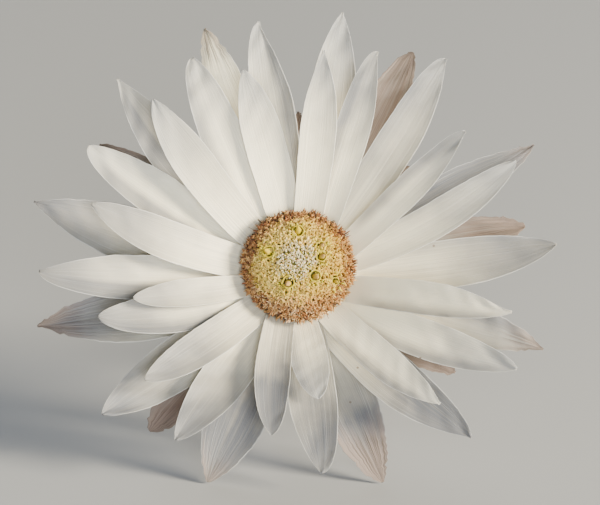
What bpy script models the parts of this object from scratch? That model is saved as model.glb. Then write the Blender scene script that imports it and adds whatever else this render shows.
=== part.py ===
"""An everlasting daisy as picked: a white papery head on a short curved stem, lying on a table.

The head is modelled in its own frame, in metres: +Z out of its face, +Y towards its upper edge as it lies,
+X to the right of someone who faces it. An empty then tips the head back and sets it down, so that it rests on
the tips of two lower bracts and on the end of its stem.
"""

import math
from collections import namedtuple

import bpy
import numpy as np
from mathutils import Matrix, Vector

MM = 0.001

# How the head lies
AXIS_ELEVATION = math.radians(29)  # the face looks up by this much
SIGHT_TILT = math.radians(12)  # azimuths and reaches are read along a line this far below the head's axis
HEAD_AT = Vector((0.3, -16.3, 18.93)) * MM  # the head frame's origin, above the table

# The disc of florets: a low dome in three zones, each a core that its florets cover
RIM_HEIGHT = 4.3 * MM  # the disc's edge above the lowest ray bracts
CROWN = 2.4 * MM  # the middle of the dome above its edge
DISC_RADIUS = 6.05 * MM
SEAM = 0.3 * MM  # left between pieces that touch
FLORET_COUNT = 76
GOLDEN_ANGLE = math.radians(137.508)
FLORET_SIDES = 6
FLORET_FOOT = 0.8 * MM  # how deep a floret is sunk in its core
CORE_SIDES = 32

# A zone's core runs from inner to outer. It takes the florets that the golden angle puts between first and
# last, drawn in until they stand between nearest and farthest. Their foot and mouth are radii, stand is how far
# they rise over the dome, all in millimetres, and lean is in radians at the disc's edge.
Zone = namedtuple("Zone", "inner outer first last nearest farthest foot mouth stand lean")
SPENT_ZONE = Zone(4.65, 5.70, 4.40, 6.05, 5.15, 5.55, 0.34, 0.46, 0.35, 0.7)
CREAM_ZONE = Zone(2.25, 4.35, 2.10, 4.40, 2.80, 3.80, 0.36, 0.50, 0.35, 0.4)
BUD_ZONE = Zone(0.00, 1.95, 0.00, 2.10, 0.00, 1.45, 0.50, 0.24, 0.60, 0.5)
OPEN_FLORETS = [  # across and up the face from its middle, in millimetres
    (0.05, 3.60),
    (-3.20, 1.40),
    (-1.15, -2.75),
    (1.95, -2.00),
    (2.75, 2.10),
    (3.20, 0.50),
]
OPEN_FLORET = CREAM_ZONE._replace(foot=0.35, mouth=0.62, stand=0.85, lean=0.3)
OPEN_SIDES = 8
BOSS_TOP = 0.7 * MM  # radius of the flat top of the buds' core

# Ray bracts
BLADE_THICKNESS = 0.62 * MM
BLADE_ROOT = 5.5 * MM  # where a bract leaves the head, from the axis
LEVEL_STEP = 0.8 * MM  # between one series of bracts and the next
LOWEST_SLOPE = math.radians(-1)
SLOPE_STEP = math.radians(9)  # inner series stand this much steeper
RECURVE = 0.45  # share of its slope that a bract loses towards its tip
ROOT_SHARE = 0.8  # width at the root over the greatest width
WIDEST_AT = 0.50  # along the bract
TIP_WIDTH = 0.45 * MM
TROUGH = 0.42 * MM  # how far the edges stand above the middle
MIDDLE_AT = 0.6  # share of the reach at which a bract's middle azimuth is read
ACROSS = 4  # cells across a blade

# Stem: it widens into a pad that carries the disc, and curves down to lie on the table
STEM_RADIUS = 0.95 * MM
STEM_END = Vector((-5.0, 34.4, 0.95)) * MM
STEM_SECTIONS = 11
STEM_SIDES = 16
PAD_RADIUS = 4.3 * MM
PAD_TOP = 2.9 * MM
PAD_PROFILE = [  # distance along the head's axis from its origin, and radius, in millimetres
    (2.9, 4.30),
    (-1.2, 4.30),
    (-2.6, 3.90),
    (-4.2, 2.90),
    (-5.6, 1.90),
    (-7.0, 1.25),
    (-8.2, 0.98),
]

# Scales behind the ray bracts: a shell 0.3 mm clear of the pad, and two rows on it
SHELL_PROFILE = [  # radius and height in millimetres, round the section
    (4.65, -1.65),
    (4.32, -2.65),
    (3.30, -4.25),
    (2.35, -5.50),
    (2.85, -6.05),
    (4.05, -4.70),
    (5.05, -3.00),
    (5.50, -1.65),
]
SHELL_SIDES = 24
ScaleRow = namedtuple("ScaleRow", "count root low length rise width first")
SCALE_ROWS = [  # lengths in millimetres, and the first scale's azimuth in degrees
    ScaleRow(count=11, root=3.5, low=-4.75, length=3.9, rise=1.5, width=2.5, first=0),
    ScaleRow(count=12, root=4.6, low=-2.85, length=4.2, rise=0.8, width=2.8, first=14),
]
SCALE_POINT = 0.9
SCALE_TROUGH = 0.3 * MM
SCALE_RECURVE = 0.3
SCALE_STATIONS = 4
SCALE_ACROSS = 2

Bract = namedtuple("Bract", "tip reach middle root width level point")

# Azimuths in degrees round the face from +X, reach and width in millimetres. Level 1 is the lowest series of
# white bracts and 3 the innermost; point is 0.6 for a round tip and 1.1 for a sharp one.
WHITE_BRACTS = [
    Bract(4.7, 27.7, 0.8, -3, 5.5, 1.3, 0.80),
    Bract(26.0, 25.8, 18.7, 13, 3.9, 2.3, 0.70),
    Bract(27.2, 28.5, 26.0, 25, 4.5, 1.0, 0.95),
    Bract(38.7, 22.8, 33.4, 24, 3.5, 3.0, 0.80),
    Bract(54.5, 27.3, 50.4, 46, 4.4, 1.9, 0.70),
    Bract(69.7, 24.5, 67.6, 61, 3.9, 2.5, 0.80),
    Bract(80.0, 27.6, 78.0, 76, 4.9, 1.2, 1.00),
    Bract(83.2, 23.1, 81.5, 79, 4.1, 3.0, 1.00),
    Bract(99.2, 26.5, 98.4, 99, 4.7, 1.9, 1.10),
    Bract(105.8, 21.8, 106.5, 107, 3.2, 1.4, 0.80),
    Bract(111.5, 27.3, 113.0, 115, 4.3, 0.9, 0.85),
    Bract(116.8, 25.0, 121.3, 130, 4.6, 2.2, 0.65),
    Bract(131.0, 23.6, 136.2, 142, 4.5, 3.0, 0.75),
    Bract(134.0, 28.0, 138.6, 145, 4.8, 1.2, 1.10),
    Bract(150.0, 25.7, 153.3, 158, 4.7, 2.0, 0.65),
    Bract(163.5, 22.9, 169.7, 174, 4.1, 3.0, 0.75),
    Bract(166.5, 29.0, 170.2, 174, 5.7, 1.2, 1.00),
    Bract(181.0, 27.6, 184.3, 189, 4.6, 2.0, 0.75),
    Bract(191.0, 17.8, 195.0, 199, 3.0, 3.3, 0.60),
    Bract(194.5, 21.9, 201.5, 206, 4.5, 2.6, 0.60),
    Bract(193.0, 28.5, 197.5, 202, 5.9, 1.0, 1.00),
    Bract(217.3, 26.1, 219.4, 222, 5.5, 1.7, 0.70),
    Bract(216.7, 20.2, 220.8, 224, 4.0, 3.0, 0.65),
    Bract(234.8, 22.6, 237.0, 238, 5.1, 2.3, 0.75),
    Bract(247.2, 24.9, 247.9, 250, 6.3, 1.0, 0.80),
    Bract(261.0, 18.4, 255.8, 250, 3.7, 3.2, 0.60),
    Bract(276.3, 22.1, 275.6, 275, 5.2, 2.3, 0.65),
    Bract(279.0, 14.2, 276.0, 274, 4.0, 3.3, 0.60),
    Bract(291.5, 24.65, 290.2, 288, 5.7, 1.0, 0.80),
    Bract(315.2, 25.8, 309.5, 303, 5.7, 1.8, 0.90),
    Bract(315.8, 20.9, 311.0, 306, 3.8, 2.9, 0.85),
    Bract(334.2, 25.6, 329.0, 322, 4.4, 2.3, 0.70),
    Bract(341.3, 27.5, 340.2, 338, 5.0, 1.2, 0.90),
    Bract(348.2, 23.1, 345.8, 337, 3.9, 3.1, 1.00),
]
ROSE_BRACTS = [
    Bract(11.0, 24.8, 12.0, 14, 3.8, 0, 0.60),
    Bract(40.8, 16.3, 41.0, 41, 3.2, 0, 0.75),
    Bract(62.0, 25.8, 61.6, 60, 4.4, 0, 0.75),
    Bract(90.0, 16.6, 90.0, 90, 3.4, 0, 0.75),
    Bract(119.0, 17.2, 119.0, 119, 3.4, 0, 0.75),
    Bract(148.0, 25.3, 149.0, 151, 3.9, 0, 0.75),
    Bract(186.0, 17.0, 187.0, 188, 3.6, 0, 0.75),
    Bract(228.3, 23.5, 228.6, 230, 4.8, 0, 0.60),
    Bract(262.0, 16.0, 262.0, 262, 3.4, 0, 0.75),
    Bract(298.0, 16.5, 298.0, 298, 3.6, 0, 0.75),
    Bract(326.5, 20.1, 324.5, 322, 3.8, 0, 0.75),
]
# The collars that the bracts grow from: inner and outer radius, lowest and highest
WHITE_COLLAR = (PAD_RADIUS + SEAM, 6.3 * MM, 0.2 * MM, 3.2 * MM)
ROSE_COLLAR = (PAD_RADIUS + SEAM, 5.9 * MM, -1.3 * MM, -0.15 * MM)
COLLAR_SIDES = 40
ROSE_DROP = 0.75 * MM  # the rose bracts' roots below the head's origin
WHITE_STATIONS = 7
ROSE_STATIONS = 5
STATION_POWER = 1.3  # how much closer together the cells are towards a blade's tip

MATERIALS = {
    "white_bract": ((0.86, 0.84, 0.78), 0.45),
    "rose_bract": ((0.55, 0.40, 0.33), 0.60),
    "scale": ((0.48, 0.36, 0.22), 0.60),
    "stem": ((0.38, 0.42, 0.22), 0.60),
    "spent_floret": ((0.45, 0.24, 0.11), 0.80),
    "cream_floret": ((0.78, 0.68, 0.38), 0.75),
    "bud": ((0.80, 0.80, 0.68), 0.80),
}


def clear_scene():
    for obj in list(bpy.data.objects):
        bpy.data.objects.remove(obj)


def material(name):
    """A plain Principled material of the part's own colour and roughness."""
    made = bpy.data.materials.new(name)
    made.use_nodes = True
    colour, roughness = MATERIALS[name]
    shader = made.node_tree.nodes["Principled BSDF"]
    shader.inputs["Base Color"].default_value = (*colour, 1)
    shader.inputs["Roughness"].default_value = roughness
    return made


def solid(name, points, faces):
    """A mesh object from points in metres and faces that look outwards."""
    mesh = bpy.data.meshes.new(name)
    mesh.from_pydata([tuple(p) for p in points], [], faces)
    obj = bpy.data.objects.new(name, mesh)
    bpy.context.scene.collection.objects.link(obj)
    return obj


def fuse(base, pieces):
    """Joins the pieces to the base in one Boolean union, and applies it."""
    group = bpy.data.collections.new(base.name + "_pieces")
    bpy.context.scene.collection.children.link(group)
    for piece in pieces:
        bpy.context.scene.collection.objects.unlink(piece)
        group.objects.link(piece)
    union = base.modifiers.new("fused", "BOOLEAN")
    union.operation = "UNION"
    union.operand_type = "COLLECTION"
    union.collection = group
    graph = bpy.context.evaluated_depsgraph_get()
    joined = bpy.data.meshes.new_from_object(base.evaluated_get(graph))
    base.modifiers.clear()
    base.data = joined
    for piece in pieces:
        bpy.data.objects.remove(piece)
    bpy.data.collections.remove(group)


def finish(obj, material_name, parent=None):
    """Gives a finished piece its material, its shading and its place under the parent."""
    obj.data.materials.clear()
    obj.data.materials.append(material(material_name))
    obj.data.shade_smooth()
    obj.data.set_sharp_from_angle(angle=math.radians(40))
    obj.parent = parent


def turned(azimuth, radius):
    return radius * np.array([math.cos(azimuth), math.sin(azimuth)])


def revolved(name, profile, sides):
    """A closed section of radii and heights, turned about the head's axis."""
    points = []
    for i in range(sides):
        for radius, height in profile:
            x, y = turned(i * 2 * math.pi / sides, radius)
            points.append((x, y, height))
    corners = len(profile)
    faces = []
    for i in range(sides):
        here, there = i * corners, (i + 1) % sides * corners
        for k in range(corners):
            after = (k + 1) % corners
            faces.append((here + k, there + k, there + after, here + after))
    return solid(name, points, faces)


def ring(name, inner, outer, low, high):
    return revolved(name, [(inner, low), (outer, low), (outer, high), (inner, high)], COLLAR_SIDES)


def tube(name, centres, directions, radii, sides, across=Vector((1, 0, 0))):
    """A round body along a line of centres, closed by flat ends."""
    points = []
    for centre, direction, radius in zip(centres, directions, radii):
        right = (across - across.dot(direction) * direction).normalized()
        up = direction.cross(right)
        for i in range(sides):
            x, y = turned(i * 2 * math.pi / sides, radius)
            points.append(centre + right * x + up * y)
    faces = [tuple(range(sides))[::-1]]
    for i in range(len(centres) - 1):
        for k in range(sides):
            a, b = i * sides + k, i * sides + (k + 1) % sides
            faces.append((a, b, b + sides, a + sides))
    faces.append(tuple(range(len(points) - sides, len(points))))
    return solid(name, points, faces)


def leaf(name, line, half, trough, thickness, columns=ACROSS):
    """A closed blade along a middle line of points, as wide as twice its half widths. Its section is a shallow
    trough, and its two faces lie half a thickness off that surface, cut alike into triangles."""
    along = np.gradient(line[:, :2], axis=0)
    along /= np.linalg.norm(along, axis=1)[:, None]
    side = np.stack([-along[:, 1], along[:, 0]], axis=1)
    v = np.linspace(-1, 1, columns + 1)
    flat = line[:, None, :2] + side[:, None, :] * (half[:, None] * v)[:, :, None]
    lift = line[:, None, 2] + trough * (half / half.max())[:, None] * v**2
    surface = np.concatenate([flat, lift[:, :, None]], axis=2)
    normal = np.cross(np.gradient(surface, axis=0), np.gradient(surface, axis=1))
    normal *= thickness / 2 / np.linalg.norm(normal, axis=2)[:, :, None]
    points = np.concatenate([(surface + normal).reshape(-1, 3), (surface - normal).reshape(-1, 3)])

    rows, stride = len(line) - 1, columns + 1
    below = (rows + 1) * stride
    faces = []
    for i in range(rows):
        for j in range(columns):
            a, b = i * stride + j, i * stride + j + 1
            c, d = a + stride, b + stride
            faces += [(a, c, d), (a, d, b), (below + a, below + d, below + c), (below + a, below + b, below + d)]
    rim = [i * stride for i in range(rows)]
    rim += [rows * stride + j for j in range(columns)]
    rim += [i * stride + columns for i in range(rows, 0, -1)]
    rim += [j for j in range(columns, 0, -1)]
    for a, b in zip(rim, rim[1:] + rim[:1]):
        faces += [(a, below + a, below + b), (a, below + b, b)]
    return solid(name, points, faces)


def half_widths(t, width, point):
    """Half the width at each share of the length: it rises to the widest place along a quarter sine and falls
    to the tip as one minus a square, raised to the power of the point."""
    rising = ROOT_SHARE + (1 - ROOT_SHARE) * np.sin(np.pi / 2 * np.minimum(t / WIDEST_AT, 1))
    falling = (1 - np.clip((t - WIDEST_AT) / (1 - WIDEST_AT), 0, 1) ** 2) ** point
    return np.maximum(width / 2 * np.where(t < WIDEST_AT, rising, falling), TIP_WIDTH / 2)


def stations(count):
    """Shares of a blade's length, closer together towards its tip."""
    return 1 - (1 - np.linspace(0, 1, count + 1)) ** STATION_POWER


def from_sight(azimuth, reach, height):
    """The head's x and y of a point at this height, whose azimuth and reach are read along the line of sight."""
    across, up = turned(math.radians(azimuth), reach)
    return np.array([across, (up - (height - RIM_HEIGHT) * math.sin(SIGHT_TILT)) / math.cos(SIGHT_TILT)])


def blade(bract, name, count):
    """One ray bract: its middle line is the parabola through its root, middle and tip, and it rises from its
    own level with a slope that eases towards the tip."""
    reach = bract.reach * MM
    rise = math.tan(LOWEST_SLOPE + SLOPE_STEP * bract.level) * (reach - BLADE_ROOT)
    start = LEVEL_STEP * bract.level if bract.level else -ROSE_DROP

    def height(t):
        return start + rise * ((1 + RECURVE) * t - RECURVE * t * t)

    mid = (MIDDLE_AT * reach - BLADE_ROOT) / (reach - BLADE_ROOT)
    root = turned(math.radians(bract.root), BLADE_ROOT)
    middle = from_sight(bract.middle, MIDDLE_AT * reach, height(mid))
    tip = from_sight(bract.tip, reach, height(1))
    t = stations(count)
    by_middle = (t * (1 - t) / (mid * (1 - mid)))[:, None]
    by_tip = (t * (t - mid) / (1 - mid))[:, None]
    flat = (1 - by_middle - by_tip) * root + by_middle * middle + by_tip * tip
    line = np.column_stack([flat, height(t)])
    return leaf(name, line, half_widths(t, bract.width * MM, bract.point), TROUGH, BLADE_THICKNESS)


def bract_whorl(name, bracts, collar, count, material_name, head):
    """A collar with all its ray bracts fused to it."""
    whorl = ring(name, *collar)
    fuse(whorl, [blade(bract, f"{name}_{i}", count) for i, bract in enumerate(bracts)])
    finish(whorl, material_name, head)


def scale(row, azimuth, name):
    """One short scale, straight out from its root, with a slope that eases towards its tip."""
    t = stations(SCALE_STATIONS)
    flat = (row.root + row.length * t)[:, None] * turned(azimuth, 1.0)
    line = np.column_stack([flat, row.low + row.rise * t * (1 + SCALE_RECURVE - SCALE_RECURVE * t)]) * MM
    half = half_widths(t, row.width * MM, SCALE_POINT)
    return leaf(name, line, half, SCALE_TROUGH, BLADE_THICKNESS, SCALE_ACROSS)


def involucre_scales(head):
    """Two rows of short scales on a shell, behind the ray bracts."""
    shell = revolved("involucre_scales", [(r * MM, z * MM) for r, z in SHELL_PROFILE], SHELL_SIDES)
    pieces = []
    for row in SCALE_ROWS:
        for i in range(row.count):
            azimuth = math.radians(row.first) + i * 2 * math.pi / row.count
            pieces.append(scale(row, azimuth, f"scale_{len(pieces)}"))
    fuse(shell, pieces)
    finish(shell, "scale", head)


def dome_height(radius):
    return RIM_HEIGHT + CROWN * (1 - (radius / DISC_RADIUS) ** 2)


def zone_places(zone):
    """Places of a zone's florets, as the head's x and y: by the golden angle, then drawn in from its edges."""
    for k in range(FLORET_COUNT):
        radius = DISC_RADIUS * math.sqrt((k + 0.5) / FLORET_COUNT)
        if zone.first * MM <= radius < zone.last * MM:
            yield turned(k * GOLDEN_ANGLE, np.clip(radius, zone.nearest * MM, zone.farthest * MM))


def floret(name, place, zone, sides=FLORET_SIDES):
    """A floret as a small tapered prism. It stands on the dome and leans outwards, more so near the edge."""
    radius = float(np.hypot(*place))
    lean = zone.lean * radius / DISC_RADIUS
    direction = Vector((*(place / radius * math.sin(lean)), math.cos(lean)))
    base = Vector((*place, dome_height(radius)))
    centres = [base - direction * FLORET_FOOT, base + direction * zone.stand * MM]
    return tube(name, centres, [direction] * 2, [zone.foot * MM, zone.mouth * MM], sides)


def zone_florets(name, zone):
    return [floret(f"{name}_{i}", place, zone) for i, place in enumerate(zone_places(zone))]


def zone_core(name, zone, low):
    """The ring under a zone's florets, as high as the dome at both of its edges."""
    inner, outer = zone.inner * MM, zone.outer * MM
    profile = [(inner, low), (outer, low), (outer, dome_height(outer)), (inner, dome_height(inner))]
    return revolved(name, profile, CORE_SIDES)


def spent_florets(head):
    """The outermost zone: withered florets that lean out over the bracts."""
    core = zone_core("spent_florets", SPENT_ZONE, WHITE_COLLAR[3] + SEAM)
    fuse(core, zone_florets("spent", SPENT_ZONE))
    finish(core, "spent_floret", head)


def cream_florets(head):
    """The broad middle zone, with a few open florets that stand out of it as wider cups."""
    core = zone_core("cream_florets", CREAM_ZONE, PAD_TOP + SEAM)
    pieces = zone_florets("cream", CREAM_ZONE)
    for x, y in OPEN_FLORETS:
        pieces.append(floret(f"open_{len(pieces)}", np.array([x, y]) * MM, OPEN_FLORET, OPEN_SIDES))
    fuse(core, pieces)
    finish(core, "cream_floret", head)


def centre_buds(head):
    """The middle zone: a low boss that pointed buds cover."""
    up = Vector((0, 0, 1))
    edge = BUD_ZONE.outer * MM
    levels = [up * (PAD_TOP + SEAM), up * dome_height(edge), up * dome_height(0)]
    boss = tube("centre_buds", levels, [up] * 3, [edge, edge, BOSS_TOP], CORE_SIDES)
    fuse(boss, zone_florets("bud", BUD_ZONE))
    finish(boss, "bud", head)


def stem(head_matrix):
    """The pad and the stem in one: down the head's axis, then along a parabola that ends flat on the table."""
    axis = head_matrix.to_3x3() @ Vector((0, 0, -1))
    centres = [head_matrix @ Vector((0, 0, s * MM)) for s, _ in PAD_PROFILE]
    directions = [axis] * len(PAD_PROFILE)
    radii = [radius * MM for _, radius in PAD_PROFILE]
    neck = centres[-1]
    bend = neck + axis * (neck.z - STEM_END.z) / -axis.z
    for i in range(1, STEM_SECTIONS + 1):
        t = i / STEM_SECTIONS
        centres.append(neck * (1 - t) ** 2 + bend * 2 * t * (1 - t) + STEM_END * t * t)
        directions.append(((bend - neck) * (1 - t) + (STEM_END - bend) * t).normalized())
        radii.append(STEM_RADIUS)
    finish(tube("stem", centres, directions, radii, STEM_SIDES), "stem")


def main():
    clear_scene()
    head_matrix = Matrix.Translation(HEAD_AT) @ Matrix.Rotation(math.pi / 2 - AXIS_ELEVATION, 4, "X")
    head = bpy.data.objects.new("head", None)
    bpy.context.scene.collection.objects.link(head)
    head.matrix_world = head_matrix
    stem(head_matrix)
    involucre_scales(head)
    bract_whorl("rose_bracts", ROSE_BRACTS, ROSE_COLLAR, ROSE_STATIONS, "rose_bract", head)
    bract_whorl("white_bracts", WHITE_BRACTS, WHITE_COLLAR, WHITE_STATIONS, "white_bract", head)
    spent_florets(head)
    cream_florets(head)
    centre_buds(head)


main()
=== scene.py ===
# %% [markdown]
# # An everlasting daisy, as picked
# The solids of this flower are plain: thick blades on a collar, and prisms for florets. This notebook
# dresses them. It makes every papery bract again as a thin, lined sheet in the same place, covers the disc
# with some hundreds of small florets, and gives the stem its ribs and wool. The solids come first, and
# nothing moves them.

import math
from collections import namedtuple

import bpy
import numpy as np
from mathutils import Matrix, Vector


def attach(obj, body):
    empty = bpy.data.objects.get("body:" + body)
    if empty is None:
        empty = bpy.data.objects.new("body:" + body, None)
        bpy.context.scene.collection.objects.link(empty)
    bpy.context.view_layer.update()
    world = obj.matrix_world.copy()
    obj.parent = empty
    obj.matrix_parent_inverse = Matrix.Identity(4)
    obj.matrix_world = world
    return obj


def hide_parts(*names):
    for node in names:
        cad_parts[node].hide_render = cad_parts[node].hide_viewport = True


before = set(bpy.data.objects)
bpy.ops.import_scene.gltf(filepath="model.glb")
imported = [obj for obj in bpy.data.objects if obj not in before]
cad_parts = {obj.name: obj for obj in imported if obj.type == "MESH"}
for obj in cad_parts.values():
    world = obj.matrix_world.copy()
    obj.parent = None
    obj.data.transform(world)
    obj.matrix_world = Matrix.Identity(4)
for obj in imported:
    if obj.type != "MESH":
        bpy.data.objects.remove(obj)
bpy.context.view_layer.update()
print("solids:", sorted(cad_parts))

# %% [markdown]
# ## How the head lies
# A flower head is easiest to describe face up, so all of it is worked out in millimetres in a frame of its
# own: Z out of the face, Y towards the upper edge as it lies. One rotation and one shift then lay it on the
# table. The camera looks along a line 12 degrees below the head's own axis, as in the photograph.

# %% The head's place
AXIS_ELEVATION = math.radians(29)
SIGHT_TILT = math.radians(12)
HEAD_AT = np.array([0.3, -16.3, 18.93])
RIM_HEIGHT = 4.3
CROWN = 2.4
DISC_RADIUS = 6.05

HEAD_AXES = np.array([
    [1, 0, 0],
    [0, math.sin(AXIS_ELEVATION), math.cos(AXIS_ELEVATION)],
    [0, -math.cos(AXIS_ELEVATION), math.sin(AXIS_ELEVATION)],
])


def laid(points):
    """Head millimetres to table millimetres: the head's place + x X + y Y + z Z, with its three axes."""
    return points @ HEAD_AXES + HEAD_AT


def turned(azimuth, radius=1.0):
    """The point at this azimuth and radius: (radius cos azimuth, radius sin azimuth)."""
    return np.stack([radius * np.cos(azimuth), radius * np.sin(azimuth)], axis=-1)


def dome_height(radius):
    """Height of the disc: its rim's height plus crown (1 - (radius / disc radius)^2)."""
    return RIM_HEIGHT + CROWN * (1 - (radius / DISC_RADIUS) ** 2)


print("middle of the disc's rim:", laid(np.array([0, 0, RIM_HEIGHT])).round(2))

# %% [markdown]
# ## Camera
# The photograph was taken close up and shows next to no perspective, so a long lens stands well back. A
# frame 600 pixels wide holds 64 mm of flower, and the middle of the disc sits a little below the frame's
# middle.

# %% The camera
FRAME_WIDTH = 64.2
DISTANCE = 700.0
DISC_OFF_CENTRE = np.array([-0.2, -1.45])
SENSOR = 36.0


def in_scene(name, data):
    """A new object with this data, in the scene."""
    made = bpy.data.objects.new(name, data)
    bpy.context.scene.collection.objects.link(made)
    return made


sight = AXIS_ELEVATION - SIGHT_TILT
to_camera = np.array([0, -math.cos(sight), math.sin(sight)])
camera_up = np.array([0, math.sin(sight), math.cos(sight)])
camera_right = np.array([1, 0, 0])
aim = laid(np.array([0, 0, RIM_HEIGHT])) - camera_right * DISC_OFF_CENTRE[0] - camera_up * DISC_OFF_CENTRE[1]
camera_data = bpy.data.cameras.new("camera")
camera_data.sensor_width = SENSOR
camera_data.lens = SENSOR * DISTANCE / FRAME_WIDTH
camera_data.clip_start = 0.01
camera = in_scene("camera", camera_data)
camera.location = (aim + to_camera * DISTANCE) / 1000
camera.rotation_euler = Vector(-to_camera).to_track_quat("-Z", "Y").to_euler()
bpy.context.scene.camera = camera
print(f"camera: {camera_data.lens:.0f} mm lens, {math.degrees(sight):.0f} degrees above the table")

# %% [markdown]
# ## Meshes from grids
# Every surface here is a grid of points worked out with numpy. A closed skin needs no special cases: a grid
# of rings closes round its columns, and a thin sheet is two grids, front and back, stitched along their
# border. Many copies of one small shape go into one mesh, so that the file stays light.

# %% Grid helpers
def unit(vectors):
    """The same directions at length 1."""
    return vectors / np.linalg.norm(vectors, axis=-1, keepdims=True)


def ring_faces(rings, columns, closed=False):
    """Quads between rings: point k of ring i meets point k + 1 and ring i + 1. Closed, the last meets the
    first."""
    i, k = np.meshgrid(np.arange(rings if closed else rings - 1), np.arange(columns), indexing="ij")
    here, there = i * columns, (i + 1) % rings * columns
    after = (k + 1) % columns
    return np.stack([here + k, here + after, there + after, there + k], axis=-1).reshape(-1, 4)


def sheet_faces(rows, columns):
    """Quads of a closed sheet: a front grid, a back grid turned over, and a strip between their borders."""
    i, j = np.meshgrid(np.arange(rows - 1), np.arange(columns - 1), indexing="ij")
    a = i * columns + j
    front = np.stack([a, a + columns, a + columns + 1, a + 1], axis=-1).reshape(-1, 4)
    below = rows * columns
    border = np.concatenate([
        np.arange(rows - 1) * columns,
        (rows - 1) * columns + np.arange(columns - 1),
        np.arange(rows - 1, 0, -1) * columns + columns - 1,
        np.arange(columns - 1, 0, -1),
    ])
    after = np.roll(border, -1)
    strip = np.stack([border, border + below, after + below, after], axis=-1)
    return np.concatenate([front, front[:, ::-1] + below, strip])


def gathered(shapes, faces):
    """Many copies of one shape as one mesh: shapes is copies by points by 3, and faces are one copy's."""
    copies, count = shapes.shape[:2]
    offsets = np.arange(copies)[:, None, None] * count
    return shapes.reshape(-1, 3), (faces[None] + offsets).reshape(-1, faces.shape[1])


def joined(*parts):
    """Several pairs of points and quads as one pair."""
    starts = np.cumsum([0] + [len(points) for points, _ in parts[:-1]])
    faces = [quads + start for (_, quads), start in zip(parts, starts)]
    return np.concatenate([points for points, _ in parts]), np.concatenate(faces)


def lathed(profile, columns):
    """A closed section of radii and heights, turned about the head's axis: (r cos a, r sin a, height)."""
    radius, height = np.array(profile).T
    angle = np.arange(columns) * 2 * np.pi / columns
    heights = np.broadcast_to(height[:, None, None], (len(profile), columns, 1))
    points = np.concatenate([turned(angle)[None] * radius[:, None, None], heights], axis=2)
    return points.reshape(-1, 3), ring_faces(len(profile), columns, closed=True)


# %% [markdown]
# A piece stands for a solid, which is only hidden. Besides its shape it keeps numbers at each point, such as
# how far along a bract the point lies, and its finish reads them.

# %% A piece in place of a solid
def piece(name, points, faces, finish, node, values, caps=()):
    """A mesh piece from table millimetres. It rides on the root body and replaces one solid, which it hides.
    Values are three numbers kept at each point, for the finish to read. Caps are faces over open ends."""
    mesh = bpy.data.meshes.new(name)
    mesh.from_pydata((points / 1000).tolist(), [], faces.tolist() + [cap.tolist() for cap in caps])
    for key, numbers in values.items():
        kept = mesh.attributes.new(key, "FLOAT_VECTOR", "POINT")
        kept.data.foreach_set("vector", np.asarray(numbers, np.float32).ravel())
    mesh.shade_smooth()
    mesh.materials.append(finish)
    made = in_scene(name, mesh)
    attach(made, "root")
    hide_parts(node)
    print(f"{name}: {len(points)} points, {sum(len(p.vertices) - 2 for p in mesh.polygons)} triangles")


# %% [markdown]
# ## Finishes written as sums
# A pattern is arithmetic on places: how far along a bract, how far across it. So the shader nodes are
# written as arithmetic too. `Value` wraps one output socket, and a sum, difference or product of values
# adds a Math node. `Finish` makes a material, its `node` method adds any other node, and `layered` lays
# colours over each other.

# %% Shader helpers
class Value:
    """One output of a finish's node tree, for use in sums."""

    def __init__(self, finish, socket):
        self.finish = finish
        self.socket = socket

    def maths(self, operation, *terms):
        return self.finish.node("ShaderNodeMath", {"operation": operation}, dict(enumerate(terms)))

    def __add__(self, other):
        return self.maths("ADD", self, other)

    __radd__ = __add__

    def __sub__(self, other):
        return self.maths("SUBTRACT", self, other)

    def __rsub__(self, other):
        return self.maths("SUBTRACT", other, self)

    def __mul__(self, other):
        return self.maths("MULTIPLY", self, other)

    def __abs__(self):
        return self.maths("ABSOLUTE", self)

    def step(self, low, high):
        """0 below low, 1 above high and a smooth rise between them. It falls where low is above high."""
        ends = (low, high) if low < high else (high, low, 1.0, 0.0)
        settings = {"interpolation_type": "SMOOTHSTEP"}
        return self.finish.node("ShaderNodeMapRange", settings, dict(enumerate((self, *ends))))


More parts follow.
